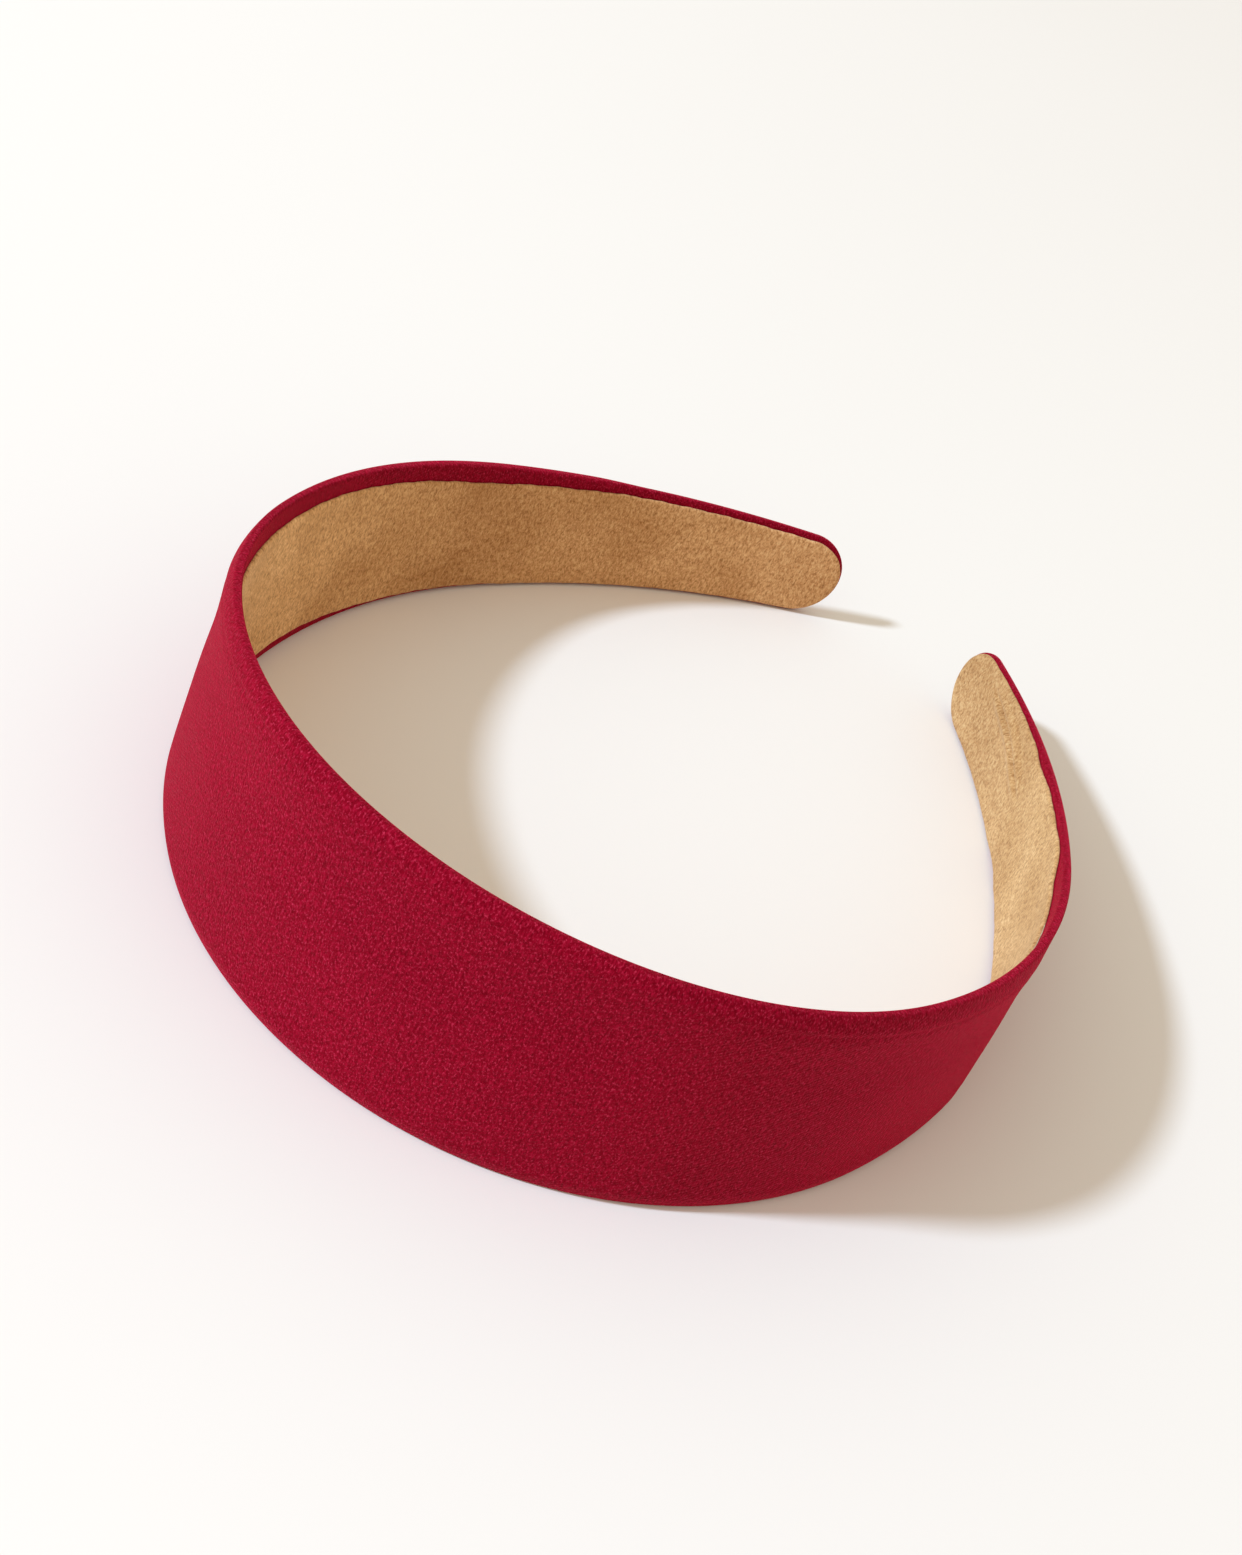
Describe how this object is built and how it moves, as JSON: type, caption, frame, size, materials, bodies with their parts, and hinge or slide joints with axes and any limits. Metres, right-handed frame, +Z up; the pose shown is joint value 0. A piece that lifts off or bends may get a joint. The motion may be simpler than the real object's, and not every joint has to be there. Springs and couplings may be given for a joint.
{
  "type": "padded fabric-covered headband",
  "caption": "Wide C-shaped springy headband, padded over the crown, satin outside and suede-lined inside, narrowing to two rounded tips.",
  "frame": {"origin": "under the middle of the bounding box, on the surface that the band's lower edge rests on", "axes": "+Z up, +Y from the crown towards the two tips, +X across the head, so the outline is the same on both sides of X = 0"},
  "size_m": [0.132, 0.1638, 0.0402],
  "materials": {
    "core_plastic": "black injection-moulded plastic strip, hidden inside",
    "adhesive": "thin translucent contact-glue film, hidden inside",
    "foam": "off-white open-cell sponge sheet, hidden inside",
    "satin": "crimson satin with a soft grainy sheen and a fine weave",
    "suede": "tan short-nap microfibre suede with a mottled, brushed pile"
  },
  "bodies": {
    "root": {"core_band": "core_plastic", "pad_adhesive": "adhesive", "foam_pad": "foam", "satin_cover": "satin", "lining_adhesive": "adhesive", "suede_lining": "suede"}
  },
  "joints": []
}
